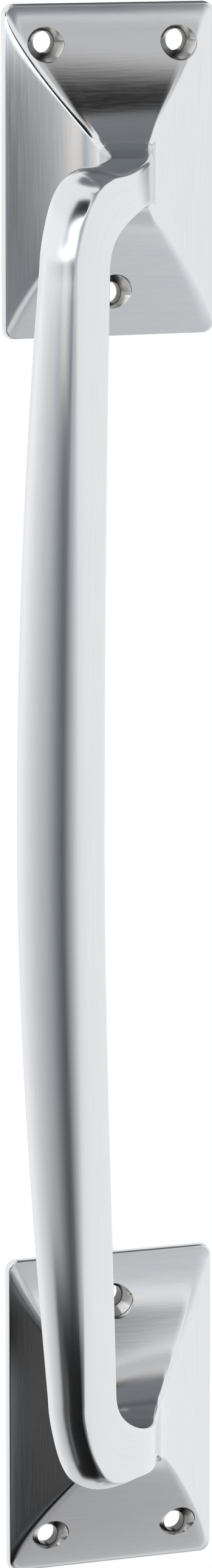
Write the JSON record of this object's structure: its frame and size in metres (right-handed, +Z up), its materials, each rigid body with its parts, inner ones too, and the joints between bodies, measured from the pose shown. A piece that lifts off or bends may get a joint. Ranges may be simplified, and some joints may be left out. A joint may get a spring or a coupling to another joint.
{
  "type": "offset pull handle",
  "caption": "Cast offset D pull handle: rectangular screw-on plates with hollow pyramid pedestals, cranked necks and a squarish bowed grip.",
  "frame": {"origin": "on the door face, at the middle of the rectangle of the four outer screw holes", "axes": "+Z up along the handle, +Y into the door, so the handle stands out towards -Y, and +X to the right when the door is faced; the grip lies left of the plates"},
  "size_m": [0.0516, 0.0493, 0.3],
  "materials": {
    "satin_chrome": "satin, brushed along each face"
  },
  "bodies": {
    "root": {"offset_pull_handle": "satin_chrome"}
  },
  "joints": []
}
